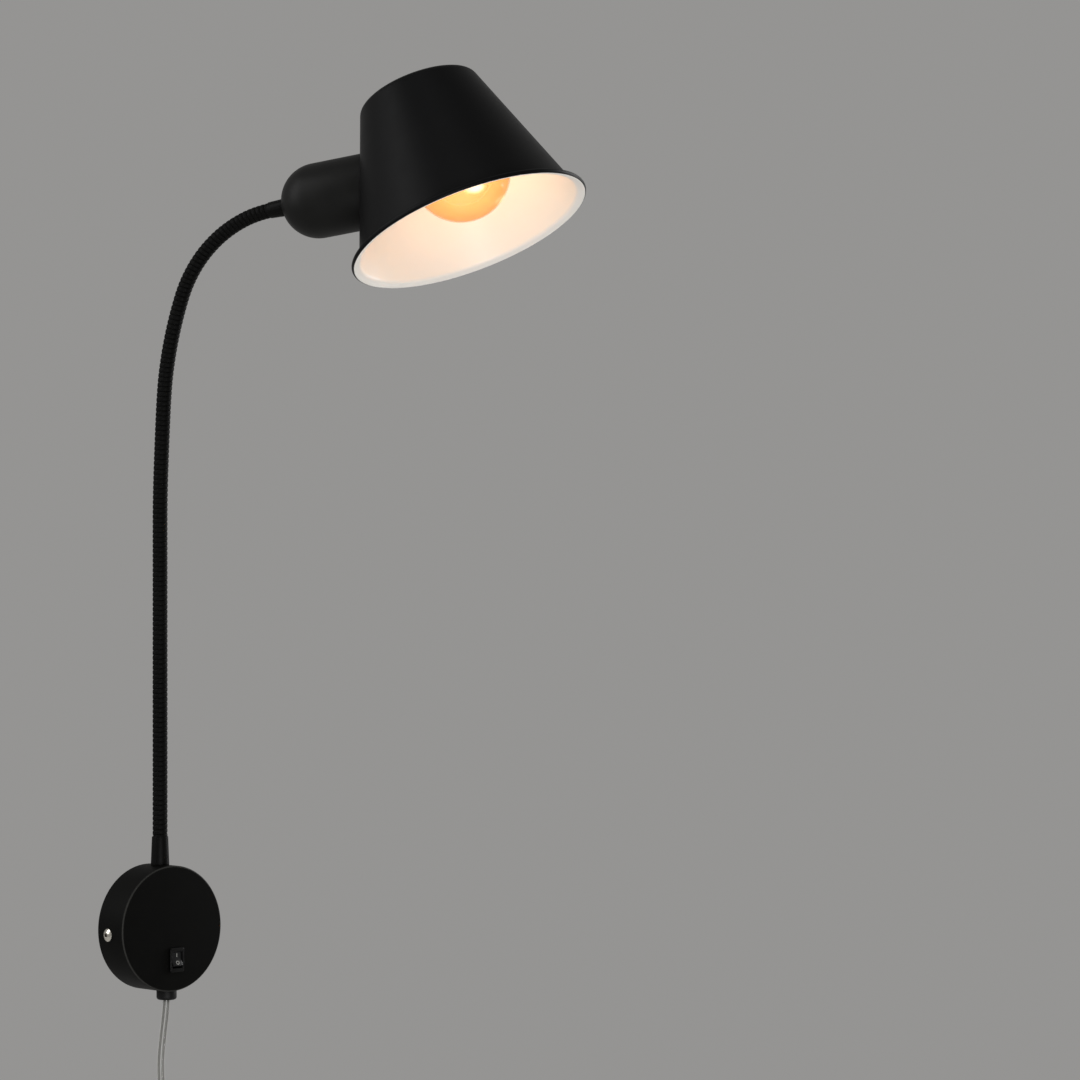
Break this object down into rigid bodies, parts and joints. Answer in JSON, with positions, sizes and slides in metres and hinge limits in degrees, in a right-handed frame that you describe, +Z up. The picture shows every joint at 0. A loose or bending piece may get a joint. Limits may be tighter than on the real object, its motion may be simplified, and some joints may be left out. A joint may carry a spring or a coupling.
{
  "type": "gooseneck wall lamp",
  "caption": "Wall lamp: a round canopy with a rocker switch carries a flexible neck, a domed socket cup and a flared metal shade over a globe bulb.",
  "frame": {"origin": "middle of the canopy's open back, on the wall plane", "axes": "+Z up the wall, +Y into the wall, +X to the right when facing the wall"},
  "size_m": [0.2484, 0.345, 0.9093],
  "materials": {
    "canopy_black": "fine matt powder coat",
    "collar_black": "satin black",
    "neck_black": "satin black, finely ribbed",
    "cup_black": "fine matt powder coat",
    "shade_black": "matt black outside, white enamel inside",
    "zinc_steel": "zinc plated",
    "bright_steel": "nickel plated",
    "black_plastic": "moulded black",
    "brass": "plain brass",
    "nickel": "nickel plated",
    "white_plastic": "moulded white",
    "clear_cord": "clear, soft, over tinned cores",
    "lead_insulation": "silicone sleeve",
    "amber_glass": "amber tint, clear",
    "stem_glass": "clear",
    "filament_glow": "glowing phosphor strip"
  },
  "bodies": {
    "canopy": {"base_collar": "collar_black", "base_nut": "zinc_steel", "base_washer": "zinc_steel", "canopy_shell": "canopy_black", "cord_coil": "clear_cord", "cord_end": "clear_cord", "cord_gland": "black_plastic", "cord_tie": "black_plastic", "cord_tube": "clear_cord", "gland_nut": "black_plastic", "internal_leads": "lead_insulation", "plug_body": "clear_cord", "plug_pins": "nickel", "side_screws": "bright_steel", "switch_contacts": "brass", "switch_housing": "black_plastic", "terminal_block": "white_plastic", "terminal_screws": "bright_steel", "wall_bracket": "zinc_steel"},
    "rocker": {"switch_rocker": "black_plastic"},
    "neck_foot_part": {"neck_01": "neck_black", "neck_cable": "lead_insulation"},
    "neck_part_1": {"neck_02": "neck_black", "neck_03": "neck_black", "neck_04": "neck_black", "neck_05": "neck_black"},
    "neck_part_2": {"neck_06": "neck_black", "neck_07": "neck_black", "neck_08": "neck_black"},
    "neck_part_3": {"neck_09": "neck_black", "neck_10": "neck_black"},
    "neck_part_4": {"neck_11": "neck_black"},
    "neck_part_5": {"neck_12": "neck_black", "neck_13": "neck_black"},
    "neck_part_6": {"neck_14": "neck_black", "neck_15": "neck_black"},
    "neck_part_7": {"neck_16": "neck_black", "neck_17": "neck_black"},
    "neck_part_8": {"neck_18": "neck_black", "neck_19": "neck_black"},
    "head": {"bulb_cap": "nickel", "bulb_contact": "brass", "bulb_glass": "amber_glass", "bulb_insulator": "black_plastic", "bulb_stem": "stem_glass", "centre_contact": "brass", "filament_supports": "nickel", "head_collar": "collar_black", "head_nut": "zinc_steel", "holder_body": "black_plastic", "holder_cap": "black_plastic", "holder_screws": "bright_steel", "led_filaments": "filament_glow", "neck_20": "neck_black", "screw_shell": "brass", "shade": "shade_black", "shade_ring": "black_plastic", "socket_cup": "cup_black"}
  },
  "joints": [
    {"name": "switch_rock", "type": "hinge", "parent": "canopy", "child": "rocker", "pos_m": [0.0035, -0.0285, -0.0245], "axis": [1, 0, 0], "range_deg": [0, 24]},
    {"name": "neck_swing", "type": "hinge", "parent": "canopy", "child": "neck_foot_part", "pos_m": [0, -0.0155, 0.065], "axis": [0, 0, 1], "range_deg": [-92, 46]},
    {"name": "lower_neck_bend", "type": "hinge", "parent": "neck_foot_part", "child": "neck_part_1", "pos_m": [0, -0.0155, 0.141], "axis": [0.9135, 0.4067, 0], "range_deg": [0, 22.5], "deforming": ["neck_cable"]},
    {"name": "lower_bend_2", "type": "hinge", "parent": "neck_part_1", "child": "neck_part_2", "pos_m": [0, -0.0155, 0.229], "axis": [0.9135, 0.4067, 0], "range_deg": [-0.01, 22.51]},
    {"name": "middle_neck_bend", "type": "hinge", "parent": "neck_part_2", "child": "neck_part_3", "pos_m": [0, -0.0155, 0.295], "axis": [0.9135, 0.4067, 0], "range_deg": [0, 22.5], "deforming": ["neck_cable"]},
    {"name": "middle_bend_2", "type": "hinge", "parent": "neck_part_3", "child": "neck_part_4", "pos_m": [0.00064, -0.01695, 0.37757], "axis": [0.9135, 0.4067, 0], "range_deg": [-0.01, 22.51]},
    {"name": "upper_bend_1", "type": "hinge", "parent": "neck_part_4", "child": "neck_part_5", "pos_m": [0.00146, -0.01879, 0.41882], "axis": [0.9135, 0.4067, 0], "range_deg": [-8.51, 1.58]},
    {"name": "upper_bend_2", "type": "hinge", "parent": "neck_part_5", "child": "neck_part_6", "pos_m": [0.00417, -0.02486, 0.46138], "axis": [0.9135, 0.4067, 0], "range_deg": [-8.11, 1.5]},
    {"name": "upper_neck_bend", "type": "hinge", "parent": "neck_part_6", "child": "neck_part_7", "pos_m": [0.00928, -0.03635, 0.50257], "axis": [0.9135, 0.4067, 0], "range_deg": [-20.63, 3.81], "deforming": ["neck_cable"]},
    {"name": "upper_bend_4", "type": "hinge", "parent": "neck_part_7", "child": "neck_part_8", "pos_m": [0.01996, -0.06034, 0.53643], "axis": [0.9135, 0.4067, 0], "range_deg": [-25.07, 4.64]},
    {"name": "upper_bend_5", "type": "hinge", "parent": "neck_part_8", "child": "head", "pos_m": [0.03547, -0.09516, 0.55597], "axis": [0.9135, 0.4067, 0], "range_deg": [-18.8, 3.48]}
  ],
  "couplings": [
    {"joint": "lower_bend_2", "follows": "lower_neck_bend", "ratio": 1},
    {"joint": "middle_bend_2", "follows": "middle_neck_bend", "ratio": 1},
    {"joint": "upper_bend_1", "follows": "upper_neck_bend", "ratio": 0.41202},
    {"joint": "upper_bend_2", "follows": "upper_neck_bend", "ratio": 0.39263},
    {"joint": "upper_bend_4", "follows": "upper_neck_bend", "ratio": 1.2147},
    {"joint": "upper_bend_5", "follows": "upper_neck_bend", "ratio": 0.91081}
  ]
}
